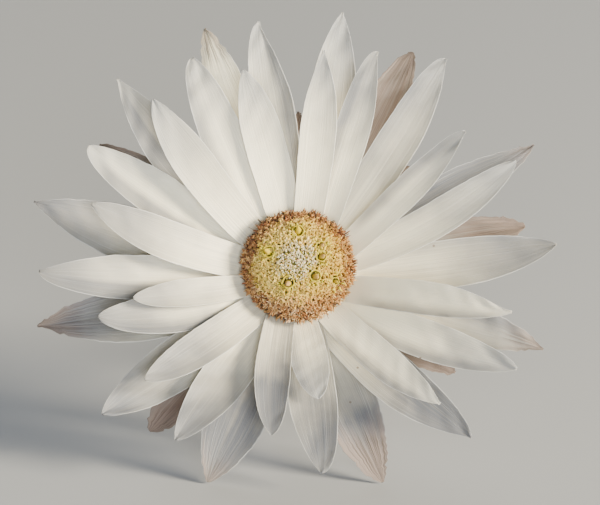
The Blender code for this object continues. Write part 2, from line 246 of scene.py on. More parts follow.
class Finish:
    """A material whose surface is one Principled shader. Sockets that never vary are set by name."""

    def __init__(self, name, **constants):
        self.material = bpy.data.materials.new(name)
        self.material.use_nodes = True
        self.tree = self.material.node_tree
        self.shader = self.tree.nodes["Principled BSDF"]
        for key, value in constants.items():
            self.shader.inputs[key.replace("_", " ")].default_value = value

    def node(self, kind, settings=None, inputs=None, output=0):
        """Adds a node of this type, sets it up, fills or links its inputs and gives one of its outputs."""
        made = self.tree.nodes.new(kind)
        for key, value in (settings or {}).items():
            setattr(made, key, value)
        for key, value in (inputs or {}).items():
            if isinstance(value, Value):
                self.tree.links.new(value.socket, made.inputs[key])
            else:
                made.inputs[key].default_value = value
        return Value(self, made.outputs[output])

    def kept(self, key):
        """The three numbers that a piece keeps at each point under this name, as one value."""
        return self.node("ShaderNodeAttribute", {"attribute_name": key}, output=1)

    def three(self, key):
        """The same three numbers as three values."""
        vector = self.kept(key)
        return [self.node("ShaderNodeSeparateXYZ", inputs={0: vector}, output=k) for k in range(3)]

    def vector(self, x, y, z):
        return self.node("ShaderNodeCombineXYZ", inputs={0: x, 1: y, 2: z})

    def place(self):
        return self.node("ShaderNodeTexCoord", output=3)

    def noise(self, vector, scale, detail=2.0, roughness=0.5):
        inputs = {"Vector": vector, "Scale": scale, "Detail": detail, "Roughness": roughness}
        return self.node("ShaderNodeTexNoise", inputs=inputs)

    def layered(self, colour, *layers):
        """A colour with others over it, one after the other, each by its factor from 0 to 1."""
        for over, factor in layers:
            inputs = {0: factor, 6: paint(colour), 7: paint(over)}
            colour = self.node("ShaderNodeMix", {"data_type": "RGBA"}, inputs, output=2)
        return colour

    def done(self, colour, roughness, relief, distance, strength):
        """The finished material, with a bump from this relief."""
        inputs = {"Height": relief, "Distance": distance, "Strength": strength}
        bump = self.node("ShaderNodeBump", inputs=inputs)
        for key, value in (("Base Color", colour), ("Roughness", roughness), ("Normal", bump)):
            self.tree.links.new(value.socket, self.shader.inputs[key])
        return self.material


def paint(colour):
    """A colour as a node takes it: red, green, blue and 1."""
    return colour if isinstance(colour, Value) else (*colour, 1.0)


# %% [markdown]
# ## The papery bracts
# What look like petals are bracts, leaves that guard the head, here dry as paper. Each is a shallow trough
# with its widest place past the middle. They stand in series: the lowest lie flat, and the inner ones rise
# more steeply and are shorter. Where each bract points is read from the photograph, and the rest is a
# formula.

# %% Where each bract stands
# Azimuths in degrees from +X, lengths in millimetres. Level is how high in the head a bract stands, point
# how pointed its tip is, with 0.5 for a round one, and tone how white it is halfway: partly the clearness of
# its paper, partly painted shade where its neighbours shadow it. Fade is how much of the tone it loses from
# root to tip, again partly painted shade, and brown how far the tip has withered. Bend is where the trough's
# deepest line runs, from -1 at one edge to 1 at the other, and cup how deep it is. Skew above 0 makes the
# side of the higher azimuth the fuller one, and side above 0 lays a band of painted shade along that side.
BRACT_WORDS = "tip reach middle root width level point tone fade brown bend cup skew side"
Bract = namedtuple("Bract", BRACT_WORDS, defaults=(1, 0, 0, 0, 1, 0, 0))
WHITE_BRACTS = [
    Bract(4.7, 27.7, 0.8, -3, 5.4, 1.3, 0.72, 0.43, 0, bend=0.25, cup=1.3, side=0.3),
    Bract(26.0, 25.8, 18.4, 13, 3.9, 2.3, 0.65, 0.85, 0, skew=-0.1, side=0.35),
    Bract(27.2, 28.5, 25.2, 25, 4.5, 1.0, 0.90, -0.22, -0.8, brown=0.55, skew=-0.2),
    Bract(38.7, 22.8, 34.2, 24, 3.3, 3.0, 0.75, 0.87, 0.2, bend=-0.2, skew=0.35, side=0.65),
    Bract(54.5, 27.3, 50.9, 46, 4.4, 1.9, 0.70, 0.51, -0.7, skew=0.4, side=0.4),
    Bract(69.7, 24.5, 67.9, 61, 3.8, 2.5, 0.80, 1.02, 0.8, bend=0.2, cup=1.2, skew=0.4, side=0.7),
    Bract(80.0, 27.6, 78.3, 76, 5.1, 1.2, 0.85, 1.06, 0, cup=1.2, skew=0.1, side=-0.3),
    Bract(83.2, 23.1, 81.3, 79, 3.9, 3.0, 1.0, 1.32, 0.6, bend=0.1, cup=1.1, side=0.15),
    Bract(99.2, 26.6, 99.2, 99, 4.6, 1.9, 0.95, 1.25, 0.5, bend=0.3, cup=1.5, skew=0.45, side=-0.8),
    Bract(105.8, 21.8, 105.2, 104, 4.4, 2.6, 0.80, 1.22, 0.5, bend=-0.1, cup=0.7, skew=-0.1),
    Bract(111.5, 27.6, 113.0, 115, 4.8, 0.9, 0.72, 2.11, 0.3, brown=0.8),
    Bract(116.8, 25.1, 120.9, 130, 4.6, 2.2, 0.60, 1.23, 0, skew=0.25, side=0.6),
    Bract(131.0, 23.6, 136.4, 142, 4.4, 3.0, 0.75, 0.6, -0.6, bend=-0.1, cup=0.8, skew=0.1),
    Bract(134.0, 28.0, 138.8, 145, 5.2, 1.2, 1.0, 0.48, -0.6, brown=0.05, bend=0.35, cup=1.6, side=1.6),
    Bract(150.0, 25.8, 154.0, 158, 4.9, 2.0, 0.60, 1.61, 0.8, skew=0.3, side=0.85),
    Bract(163.5, 22.9, 169.2, 174, 4.4, 3.0, 0.72, 0.41, 0, skew=-0.15),
    Bract(166.5, 29.1, 170.0, 174, 6.1, 1.2, 0.92, 0.62, 0.8, brown=0.2, bend=0.35, cup=1.6),
    Bract(181.0, 27.6, 184.8, 189, 4.9, 2.0, 0.72, 0.73, 0.7, bend=0.3, cup=1.4, skew=0.3, side=1.3),
    Bract(191.0, 17.8, 195.0, 199, 3.0, 3.3, 0.60, 0.4, -0.5),
    Bract(194.5, 21.9, 201.5, 206, 4.5, 2.6, 0.60, 0.5, 0.3, side=0.6),
    Bract(193.0, 28.6, 197.1, 202, 6.2, 1.0, 0.90, 0.44, 0.5, brown=0.9, skew=-0.2, side=-0.5),
    Bract(217.3, 26.1, 219.4, 222, 5.6, 1.7, 0.70, 0.59, 0.8, bend=0.1, cup=1.2, side=-0.2),
    Bract(216.7, 20.2, 220.8, 224, 4.0, 3.0, 0.65, 0.21, -0.5, side=-0.25),
    Bract(234.8, 22.5, 237.0, 238, 5.1, 2.3, 0.72, 0.36, 0.1, bend=0.25, cup=1.5, side=0.25),
    Bract(247.2, 24.9, 247.9, 250, 6.9, 1, 0.75, 0, -0.7, brown=0.6, bend=0.1, cup=1.2, skew=0.05, side=-0.5),
    Bract(261.0, 18.1, 256.1, 250, 3.8, 3.2, 0.60, -0.09, -0.8, bend=0.2, cup=1.9, skew=0.15, side=-0.15),
    Bract(276.5, 22.1, 276.0, 275, 5.2, 2.3, 0.68, 0.12, -0.5, cup=1.1, skew=0.3, side=-0.25),
    Bract(279.0, 14.2, 276.0, 274, 4.0, 3.3, 0.60, 0.77, -0.2, cup=0.8, side=-0.5),
    Bract(291.5, 24.7, 290.0, 288, 6.1, 1.0, 0.72, 0.05, 0.4, brown=1.3, skew=-0.1, side=-0.4),
    Bract(315.2, 25.8, 309.9, 303, 5.4, 1.8, 0.85, 0.09, -0.3, bend=0.1, cup=1.2, skew=0.25, side=0.6),
    Bract(315.8, 20.9, 311.0, 306, 3.8, 2.9, 0.85, 1.58, 0.7, cup=0.9, side=-0.55),
    Bract(334.8, 25.6, 329.7, 322, 4.2, 2.3, 0.65, 1.23, 0.8, skew=0.1, side=-0.6),
    Bract(341.3, 27.6, 340.0, 338, 5.0, 1.2, 0.85, 0.58, 0, brown=0.8, skew=0.1, side=0.7),
    Bract(348.0, 23.1, 345.5, 337, 3.7, 3.1, 1.0, 1.79, 0.8, cup=0.9, skew=-0.3, side=-0.5),
]
ROSE_BRACTS = [
    Bract(10.0, 24.9, 10.6, 14, 3.9, 0, 0.52, 0.54, 0.8, brown=1, side=0.8),
    Bract(40.8, 16.3, 41.0, 41, 3.2, 0, 0.75, 1, 0, brown=1),
    Bract(61.8, 26.2, 61.3, 60, 4.8, 0, 0.60, -0.04, 0.4, brown=0.8, side=0.9),
    Bract(90.0, 16.6, 90.0, 90, 3.4, 0, 0.75, 1, 0, brown=1),
    Bract(119.0, 17.2, 119.0, 119, 3.4, 0, 0.75, 1, 0, brown=1),
    Bract(148.6, 25.2, 149.8, 151, 3.8, 0, 0.75, 1.8, 0, brown=0.5),
    Bract(186.0, 17.0, 187.0, 188, 3.6, 0, 0.75, 1, 0, brown=1),
    Bract(228.3, 23.9, 228.6, 230, 5.0, 0, 0.52, 1.15, 0.8, brown=0.8, side=-0.7),
    Bract(262.0, 16.0, 262.0, 262, 3.4, 0, 0.75, 1, 0, brown=1),
    Bract(298.0, 16.5, 298.0, 298, 3.6, 0, 0.75, 1, 0, brown=1),
    Bract(325.8, 20.4, 323.5, 321, 4.2, 0, 0.65, 0.2, 0, brown=1),
]
print(len(WHITE_BRACTS), "white bracts and", len(ROSE_BRACTS), "rose ones")

# %% [markdown]
# A bract's surface is a function of t, along it, and w, across it. Its middle line is the parabola through
# root, middle and tip; its outline is a quarter sine up to the widest place and a power of one minus a
# square after it. Nothing grows quite true, so each gets a little twist, ripple and uneven edge from its
# own seeded draw.

# %% The shape of a bract
BRACT_ROOT = 5.5
LEVEL_STEP = 0.8
LOWEST_SLOPE = math.radians(-1)
SLOPE_STEP = math.radians(9)
RECURVE = 0.45
MIDDLE_AT = 0.6
ROOT_SHARE = 0.8
WIDEST_AT = 0.5
TIP_WIDTH = 0.3
TROUGH = 0.42
ROSE_DROP = 0.75
BRACT_ROWS = 46
BRACT_COLUMNS = 17
BRACT_THICKNESS = 0.17


def from_sight(azimuth, reach, height):
    """Head x and y of a point at this height, whose azimuth and reach are read along the camera's sight line:
    across stays, and up = (reading - (height - rim) sin tilt) / cos tilt."""
    across, up = turned(math.radians(azimuth), reach)
    return np.array([across, (up - (height - RIM_HEIGHT) * math.sin(SIGHT_TILT)) / math.cos(SIGHT_TILT)])


def wander(t, draw, waves=5):
    """A smooth uneven line along t, about 1 high: a sum of sines whose heights fall as their counts rise."""
    counts = np.arange(1, waves + 1)
    heights = draw.normal(size=waves) / counts
    phases = draw.uniform(0, 2 * np.pi, waves)
    return (heights * np.sin(2 * np.pi * counts * t[..., None] + phases)).sum(-1)


def bract_outline(t, w, bract, draw):
    """Half the width at each t, on the side that w is on: width/2 times a quarter sine from the root's share
    up to 1 at the widest place, then times (1 - u^2)^power to the tip. Skew makes the power, and so each
    side's fullness, differ. Both edges are a little uneven, and a withered tip is frayed."""
    rising = ROOT_SHARE + (1 - ROOT_SHARE) * np.sin(np.pi / 2 * np.minimum(t / WIDEST_AT, 1))
    u = np.clip((t - WIDEST_AT) / (1 - WIDEST_AT), 0, 1)
    sides = []
    for sign in (1, -1):
        falling = (1 - u**2) ** (bract.point * (1 + sign * bract.skew))
        uneven = 1 + 0.012 * wander(t, draw) + 0.05 * bract.brown * u**2 * wander(t * 5, draw)
        half = np.maximum(bract.width / 2 * rising * falling * uneven, TIP_WIDTH / 2)
        frayed = (0.01 + 0.09 * bract.brown * u**1.5) * draw.normal(size=t.shape)
        sides.append(half + np.clip(frayed, -0.3 * half, 0.3 * half))
    return np.where(w < 0, sides[0][:, None], sides[1][:, None])


def dented(t, w, draw):
    """Soft dents in paper, about 1 high: a sum of eight slanting waves sin(2 pi (m w + n t) + phase)."""
    over_w, over_t, phase = draw.uniform((0.2, 2.0, 0.0), (0.9, 8.0, 6.28), (8, 3)).T[:, :, None, None]
    return np.sin(2 * np.pi * (over_w * w + over_t * t[:, None]) + phase).sum(0) / 2


# %% [markdown]
# Paper is so thin that it needs no solid modelling: the sheet's middle surface is worked out first, and its
# front and back are that surface moved both ways along its own normals. The bracts and the scales behind
# the head are both made so.

# %% A bract as a thin sheet
def thin_sheet(line, w, t, half, lift, thickness, draw, back=0):
    """A thin sheet as its points, front and back, and the place (w, t, seed) of each. It runs along a middle
    line, w half widths sideways, at the height of lift. The back's seeds have this much added."""
    along = unit(np.gradient(line, axis=0))
    side = np.stack([-along[:, 1], along[:, 0]], axis=1)
    flat = line[:, None] + side[:, None] * (half * w)[..., None]
    surface = np.concatenate([flat, lift[..., None]], axis=2)
    normal = unit(np.cross(np.gradient(surface, axis=0), np.gradient(surface, axis=1)))
    offset = normal * thickness[..., None] / 2
    points = np.stack([surface + offset, surface - offset]).reshape(-1, 3)
    place = np.stack(np.broadcast_arrays(w, t[:, None], draw.uniform()), axis=-1).reshape(-1, 3)
    return points, np.concatenate([place, place + [0, 0, back]])


def bract_sheet(bract, draw, unruly=1.0):
    """One bract as a thin sheet, lifted by trough (w - bend)^2 and by the twist, ripples and dents. The
    columns stand closer towards the edges, w = sin(pi/2 s), so that the light turns sharply there."""
    t = 1 - (1 - np.linspace(0, 1, BRACT_ROWS)) ** 1.25
    w = np.sin(np.pi / 2 * np.linspace(-1, 1, BRACT_COLUMNS))
    length = bract.reach - BRACT_ROOT
    rise = math.tan(LOWEST_SLOPE + SLOPE_STEP * bract.level) * length
    start = LEVEL_STEP * bract.level if bract.level else -ROSE_DROP

    def height(t):
        return start + rise * ((1 + RECURVE) * t - RECURVE * t * t)

    mid = (MIDDLE_AT * bract.reach - BRACT_ROOT) / length
    root = turned(math.radians(bract.root), BRACT_ROOT)
    middle = from_sight(bract.middle, MIDDLE_AT * bract.reach, height(mid))
    tip = from_sight(bract.tip, bract.reach, height(1))
    by_middle = (t * (1 - t) / (mid * (1 - mid)))[:, None]
    by_tip = (t * (t - mid) / (1 - mid))[:, None]
    line = (1 - by_middle - by_tip) * root + by_middle * middle + by_tip * tip

    half = bract_outline(t, w, bract, draw)
    fullness = half / (bract.width / 2)
    trough = TROUGH * bract.cup * fullness * (w - bract.bend) ** 2 / (1 + abs(bract.bend))
    twist = unruly * draw.normal(0, 0.07) * w * half * t[:, None]
    ripple = unruly * 0.10 * (t * wander(t, draw, 3))[:, None]
    frill = unruly * 0.05 * wander(t * 1.5, draw, 4)[:, None] * w**3 * t[:, None]
    curl = unruly * draw.normal(0.05, 0.25) * (np.clip((t - 0.7) / 0.3, 0, 1) ** 2)[:, None]
    dents = unruly * 0.0022 * length * dented(t, w, draw) * np.sqrt(t)[:, None]
    lift = height(t)[:, None] + trough + twist + ripple + frill + curl + dents
    thickness = BRACT_THICKNESS * (1 - 0.75 * w**2) * (1 - 0.5 * t[:, None])
    return thin_sheet(line, w, t, half, lift, thickness, draw, back=1)


one, _ = bract_sheet(WHITE_BRACTS[0], np.random.default_rng(0))
print("one bract spans", np.ptp(one, axis=0).round(1), "mm")

# %% [markdown]
# The finish of the bracts is where paper shows: fine lines run from root to tip, the white is creamy at the
# root and greyer towards the tip, partly its own colour and partly painted shade, dust lies here and there,
# and some tips have withered to pink and brown in streaks. Painted shade also dims bracts by their tone, lies
# in a band along one side of some and in the fine furrows, and a painted highlight brightens the white edges
# and the raised lines. A little light also comes through, by subsurface scattering.

# %% The bracts' finish
ROOT_WHITE = (0.91, 0.82, 0.60)
# Partly the tips' own grey, partly painted shade.
TIP_GREY_AND_SHADE = (0.30, 0.30, 0.29)
HIGHLIGHT_WHITE = (0.95, 0.93, 0.87)
ROSE_RIM = (0.10, 0.04, 0.03)
SHADE_BLUE_GREY = (0.10, 0.107, 0.122)
BACK_WHITE = (0.74, 0.73, 0.70)
ROSE_SHADE = (0.11, 0.075, 0.06)
ROSE = (0.21, 0.135, 0.105)
ROSE_ROOT = (0.30, 0.30, 0.28)
ROSE_PALE = (0.32, 0.265, 0.225)
FURROW_SHADE = (0.24, 0.225, 0.20)
WITHERED = (0.26, 0.195, 0.165)
STREAK = (0.07, 0.052, 0.04)
DUST = (0.13, 0.09, 0.06)


def bract_finish(name, root, tip, rosiness):
    """Paper with lines along it, from one colour at its root to another at its tip, the tip's colour partly
    painted shade. Painted shade follows tone and side and lies in the furrows, and a painted highlight lies
    on the white edges and raised lines. Kept values: place is (w, t, seed), with 1 added to the seed on the
    back, and looks is (brown, tone at this t, side)."""
    finish = Finish(
        name, Subsurface_Weight=0.2, Subsurface_Scale=0.0005, Subsurface_Radius=(1.0, 0.85, 0.6),
        Specular_IOR_Level=0.45,
    )
    across, along, seed = finish.three("place")
    brown, tone, side = finish.three("looks")
    lines = finish.noise(finish.vector(across * 7 + seed * 31, along * 0.9, seed * 17), 1.0, 4.0, 0.65)
    threads = finish.noise(finish.vector(across * 26 + seed * 13, along * 1.6, seed * 7), 1.0)
    clouds = finish.noise(finish.place(), 170.0, 3.0)
    cells = finish.noise(finish.vector(across * 22, along * 60, seed * 9), 1.0)

    length = along + (clouds - 0.5) * 0.35 + (lines - 0.5) * 0.15
    back = seed.step(0.99, 1.0)
    rosy = 1 - (1 - (length + (lines - 0.5) * 0.5).step(0.45, 0.85)) * (1 - back)
    # The colour of painted shade: blue grey on white bracts, a rose shade on rose ones.
    painted_shade_colour, rim = (ROSE_SHADE, ROSE_RIM) if rosiness else (SHADE_BLUE_GREY, HIGHLIGHT_WHITE)
    window = along.step(0.0, 0.25) * along.step(1.0, 0.8)
    # A band of painted shadow along one side of a bract, where its neighbour shades it.
    shadow_band = (across * side + (clouds - 0.5) * 0.12 + (lines - 0.5) * 0.1).step(0.02, 0.5) * window
    thin = 1.35 - tone
    # Painted shade in the fine furrows between the raised lines, stronger on dimmer bracts.
    shade = (threads.step(0.60, 0.32) * 0.22 + lines.step(0.60, 0.35) * 0.16) * thin
    reach = along + (lines - 0.5) * 0.5 + abs(across) * 0.08
    withered = (reach + brown * 0.33).step(1.06, 1.34) * brown.step(0.0, 0.15)
    dark = (along + brown * 0.25 + (clouds - 0.5) * 0.4 - abs(across) * 0.12).step(0.92, 1.06)
    streaks = dark * threads.step(0.46, 0.58) * brown.step(0.1, 0.5)
    dots = finish.node("ShaderNodeTexVoronoi", inputs={"Vector": finish.place(), "Scale": 330.0})
    sparse = finish.noise(finish.place(), 420.0, 0.0).step(0.60, 0.64)
    colour = finish.layered(
        root,
        # Greyer towards the tip: partly the paper's colour, partly painted shade.
        (tip, length.step(0.15, 1.05) * tone.step(-0.2, 0.9) * tone.step(2.2, 1.0)),
        (BACK_WHITE, back * (1 - rosiness) * 0.8),
        (ROSE, rosy * rosiness * lines.step(0.2, 0.6)),
        # Painted shade where the tone is low, stronger towards the tip.
        (painted_shade_colour, (1 - tone) * (0.3 + length.step(0.1, 0.9) * 1.1)),
        # The painted shadow band, with a random mottle over the whole bract.
        (painted_shade_colour, shadow_band * 0.75 + clouds.step(0.45, 0.72) * 0.14),
        # A painted highlight along the white bracts' edges; on rose bracts their brown edge instead.
        (rim, abs(across).step(0.95, 1.0) * 0.45),
        # Painted shade in the furrows.
        (FURROW_SHADE, shade),
        # Pale raised lines: a painted highlight on their ridges.
        (HIGHLIGHT_WHITE, threads.step(0.58, 0.75) * thin * 0.15 * (1 - rosiness)),
        (WITHERED, withered * 0.75),
        (STREAK, streaks * 0.7),
        (DUST, dots.step(0.055, 0.03) * sparse * 0.8),
    )
    roughness = 0.42 + lines * 0.15 + withered * 0.2 + rosiness * 0.1
    relief = threads * 0.5 + lines * 0.7 + cells * 0.25 + withered * threads * 1.2
    return finish.done(colour, roughness, relief, 0.00008, 0.8)


white_paper = bract_finish("white_paper", ROOT_WHITE, TIP_GREY_AND_SHADE, 0.0)
rose_paper = bract_finish("rose_paper", ROSE_ROOT, ROSE_PALE, 0.9)

# %% [markdown]
# The white bracts are made in three series, lowest, middle and innermost, each one mesh. The two that the
# head rests on are kept quiet, so that their tips just meet the table.

# %% The white and rose bracts
RESTING = (24, 28)
WHITE_COLLAR = [(4.65, 0.25), (5.6, 0.25), (5.9, 0.9), (5.9, 1.9), (5.65, 2.7), (4.65, 2.7)]
ROSE_COLLAR = [(4.65, -1.2), (5.5, -1.2), (5.85, -0.8), (5.8, -0.2), (4.65, -0.2)]
SERIES = [("low", 0, 1.5, WHITE_COLLAR), ("middle", 1.5, 2.7, None), ("high", 2.7, 9, None)]


def bract_series(name, chosen, finish, node, seed, collar=None):
    """All the bracts of one series as one mesh, with the values that their finish reads. A collar is the
    closed section of the ring that they grow from."""
    sheets, places, looks = [], [], []
    for index, bract in chosen:
        draw = np.random.default_rng(seed + index)
        sheet, place = bract_sheet(bract, draw, 0.0 if index in RESTING and bract.level else 1.0)
        sheets.append(sheet)
        places.append(place)
        # The tone is partly the paper's whiteness and partly painted shade, falling by fade from root to tip.
        tone = bract.tone - bract.fade * (place[:, 1] - 0.5)
        looks.append(np.stack([0 * tone + bract.brown, tone, 0 * tone + bract.side], axis=1))
    points, faces = gathered(np.array(sheets), sheet_faces(BRACT_ROWS, BRACT_COLUMNS))
    if collar:
        ring = lathed(collar, 120)
        points, faces = joined((points, faces), ring)
        places.append(np.tile([0.0, 0.0, 0.5], (len(ring[0]), 1)))
        looks.append(np.tile([0.0, 1.0, 0.0], (len(ring[0]), 1)))
    kept = {"place": np.concatenate(places), "looks": np.concatenate(looks)}
    piece(name, laid(points), faces, finish, node, kept)


for series, lowest, above, collar in SERIES:
    chosen = [(index, bract) for index, bract in enumerate(WHITE_BRACTS) if lowest <= bract.level < above]
    bract_series("white_bracts_" + series, chosen, white_paper, "white_bracts", 10, collar)
bract_series("rose_bracts_fine", list(enumerate(ROSE_BRACTS)), rose_paper, "rose_bracts", 90, ROSE_COLLAR)

# %% [markdown]
# ## The disc
# The disc is a low dome of some hundreds of florets, set by the golden angle: each stands 137.5 degrees
# round from the one before, and a little further out. The middle ones are buds under white bristles, the
# broad ring is cream and open here and there, and the outer ones have withered to rust. The crumbs that
# show are bristle tips and lobes, so most of the work is small curved rods, each a strip of four-cornered
# rings.

# %% Rods and tubes
def rods(foot, direction, bend, length, width, depth, swell):
    """Small curved rods, as rods by points by 3. A ring at share s has its middle at
    foot + length (direction s + bend s^2), and four corners round it, width x depth times the swell there.
    Width and depth are one number, or one for each rod."""
    swell = np.array(swell)
    width, depth = (np.broadcast_to(size, len(foot))[:, None] * swell / 2 for size in (width, depth))
    share = np.linspace(0, 1, len(swell))[None, :, None]
    direction, bend = direction[:, None], bend[:, None]
    middle = foot[:, None] + length[:, None, None] * (direction * share + bend * share**2)
    along = unit(direction + 2 * bend * share)
    across = unit(np.cross(along, bend))
    through = np.cross(along, across)
    corner = np.arange(4) * np.pi / 2
    wide = width[..., None, None] * np.cos(corner)[:, None] * across[:, :, None]
    deep = depth[..., None, None] * np.sin(corner)[:, None] * through[:, :, None]
    return (middle[:, :, None] + wide + deep).reshape(len(foot), -1, 3)


def rod_faces(rings):
    """Faces of a four-sided rod: its rings, and a quad over each end."""
    ends = [[3, 2, 1, 0], [4 * rings - 4, 4 * rings - 3, 4 * rings - 2, 4 * rings - 1]]
    return np.concatenate([ring_faces(rings, 4), ends])


def tubes(foot, direction, section, size, spin, columns, lobes=5):
    """Hollow florets: a closed section of (radius, height, lobing), turned round each floret's own axis. The
    radius is times 1 + lobing cos(lobes angle), so that the mouth spreads into lobes."""
    radius, height, lobing = np.array(section).T
    angle = np.arange(columns) * 2 * np.pi / columns
    wave = radius[:, None] * (1 + lobing[:, None] * np.cos(lobes * angle))
    u, v = crosswise(direction, spin)
    size = size[:, None, None, None]
    round_it = u[:, None, None] * np.cos(angle)[:, None] + v[:, None, None] * np.sin(angle)[:, None]
    rise = direction[:, None, None] * (height[:, None] + 0 * angle)[None, :, :, None]
    return (foot[:, None, None] + size * (wave[None, :, :, None] * round_it + rise)).reshape(len(foot), -1, 3)


def crosswise(direction, spin):
    """Two directions square to each one given and to each other, turned about it by the spin."""
    first = unit(np.cross(np.array([0.0, 1.0, 0.0]), direction))
    second = np.cross(direction, first)
    cos, sin = np.cos(spin)[:, None], np.sin(spin)[:, None]
    return first * cos + second * sin, second * cos - first * sin


def on_dome(at, lean):
    """Points of the dome at these places, and directions that lean out by this much at the disc's edge."""
    radius = np.maximum(np.linalg.norm(at, axis=1), 0.001)[:, None]
    tilt = lean * radius / DISC_RADIUS
    direction = np.concatenate([at / radius * np.sin(tilt), np.cos(tilt)], axis=1)
    return np.concatenate([at, dome_height(radius)], axis=1), direction


def blended(first, second, share):
    """One colour into another by a share, which is held between 0 and 1."""
    return np.array(first) + (np.array(second) - np.array(first)) * np.clip(share, 0, 1)[..., None]


# %% [markdown]
# The golden angle sets the florets out, and a small random shift takes the stiffness out of the pattern.
# Seven open ones are wider than the rest. They stand where the photograph shows them, and the florets that
# would be in their way are left out.

# %% Where the florets stand
FLORET_COUNT = 340
GOLDEN_ANGLE = math.radians(137.508)
FLORETS_TO = 0.955  # of the disc's radius
BUDS_TO = 2.05
CREAM_TO = 4.55
OPEN_FLORETS = np.array(
    [(0.0, 3.30), (-3.10, 1.10), (-1.02, -2.22), (1.78, -1.55), (2.40, 1.68), (2.44, 0.55), (3.93, -1.92)]
)
OPEN_SIZES = np.array([0.98, 0.98, 1.0, 0.95, 0.82, 0.86, 0.62])
OPEN_ROOM = 0.66 * OPEN_SIZES

number = np.arange(FLORET_COUNT)
spread = DISC_RADIUS * FLORETS_TO * np.sqrt((number + 0.5) / FLORET_COUNT)
florets = turned(number * GOLDEN_ANGLE, spread)
florets += np.random.default_rng(3).normal(0, 0.05, florets.shape)
spacing = np.linalg.norm(florets[:, None] - OPEN_FLORETS[None], axis=2)
florets = florets[(spacing > OPEN_ROOM).all(axis=1)]
distance = np.linalg.norm(florets, axis=1)
buds = florets[distance < BUDS_TO]
creams = florets[(distance >= BUDS_TO) & (distance < CREAM_TO)]
spents = florets[distance >= CREAM_TO]
print(len(buds), "buds,", len(creams), "cream florets and", len(spents), "withered ones")

# %% [markdown]
# How far a floret has withered depends on how far out it is, and on the lower side withering has come
# further in. That one number, the age, then gives each rod and tube its colour.

# %% Age and colours
CREAM = (0.50, 0.325, 0.045)
PALE_CREAM = (0.63, 0.445, 0.11)
YELLOW = (0.44, 0.345, 0.02)
OCHRE = (0.25, 0.15, 0.035)
RUST = (0.25, 0.095, 0.025)
RED_BROWN = (0.16, 0.05, 0.02)
TAN = (0.44, 0.24, 0.08)
DARK = (0.05, 0.027, 0.014)
OLIVE = (0.17, 0.155, 0.03)
BRISTLE_WHITE = (0.84, 0.745, 0.51)
PALE_TAN = (0.66, 0.44, 0.23)


def age_at(at, draw, spread=0.3):
    """0 for a fresh floret and 1 for a withered one: a smooth step over the radius, whose place comes in by
    almost a millimetre below the middle and by half of that at the upper left."""
    angle = np.arctan2(at[:, 1], at[:, 0])
    below = np.exp(-(((angle + 1.5) / 0.75) ** 2))
    upper_left = np.exp(-(((angle - 2.5) / 0.8) ** 2))
    edge = 4.75 - 0.95 * below - 0.45 * upper_left
    radius = np.linalg.norm(at, axis=1) + draw.normal(0, spread, len(at))
    return np.clip((radius - edge) / 0.7 + 0.5, 0, 1)


def floret_draw(count, each, draw, shared=0.7):
    """A number between 0 and 1 for each rod, which the rods of one floret mostly share."""
    whole = np.repeat(draw.uniform(0, 1, count), each)
    return shared * whole + (1 - shared) * draw.uniform(0, 1, count * each)


def deepened(tone, at, amount=(0.15, 0.22, 0.40)):
    """The tones by place: deeper towards the right edge of the disc and lighter on the left."""
    return tone * (1 - np.clip(at[:, :1] / 3.5, -0.6, 1) * amount)


# %% [markdown]
# Each kind of rod has its own swelling: a bristle is even and ends in a tuft, a lobe is flat and narrows, a
# bud is a fat spindle. Around every floret stands a ring of them, and they bend outwards over their
# neighbours.

# %% Rings of rods round the florets
BRISTLE = (1.0, 0.9, 1.5, 0.6)
CRUMB = (0.9, 0.8, 1.7, 1.0)
LOBE = (0.7, 1.1, 1.0, 0.45)
SPINDLE = (0.8, 1.1, 1.0, 0.4)


def tuft(at, draw, swell, each, out, lean, sink, length, width, depth, splay, curl):
    """A ring of rods of uneven length round each floret, and where their feet stand. Out is the ring's
    radius, lean that of the floret at the disc's edge, and sink how deep the rods start. Splay leans them
    outwards and curl bends them."""
    base, direction = on_dome(np.repeat(at, each, axis=0), lean)
    count = len(base)
    angle = np.tile(np.arange(each) * 2 * np.pi / each, len(at))
    angle = angle + np.repeat(draw.uniform(0, 6, len(at)), each)
    outward, _ = crosswise(direction, angle + draw.normal(0, 0.35, count))
    foot = base + outward * (out * draw.uniform(0.7, 1.3, count))[:, None]
    stray = draw.normal(0, 0.12, (count, 3))
    upright = unit(direction + outward * (splay * draw.uniform(0.4, 1.4, count))[:, None] + stray)
    bend = outward * (curl * draw.uniform(0.3, 1.6, count))[:, None] + draw.normal(0, 0.05, (count, 3))
    lengths = length * draw.uniform(0.78, 1.18, count)
    widths, depths = width * draw.uniform(0.7, 1.3, count), depth * draw.uniform(0.8, 1.2, count)
    return rods(foot - direction * sink, upright, bend, lengths, widths, depths, swell), foot[:, :2]


def painted(shapes, faces, tone, shade):
    """Copies of one shape as points, faces and tones: each copy's tone times the shade of each ring."""
    corners = shapes.shape[1] // len(shade)
    tones = np.repeat(tone[:, None] * np.array(shade)[:, None], corners, axis=1)
    return *gathered(shapes, faces), tones.reshape(-1, 3)


def painted_rods(shapes, tone, low):
    """Rods that are darker towards the foot, where their neighbours keep the light out."""
    rings = shapes.shape[1] // 4
    return painted(shapes, rod_faces(rings), tone, np.linspace(low, 1, rings) ** 0.8)


def painted_tubes(shapes, tone, shade):
    """Tubes with one shade for each ring of their section."""
    return painted(shapes, ring_faces(len(shade), shapes.shape[1] // len(shade), closed=True), tone, shade)


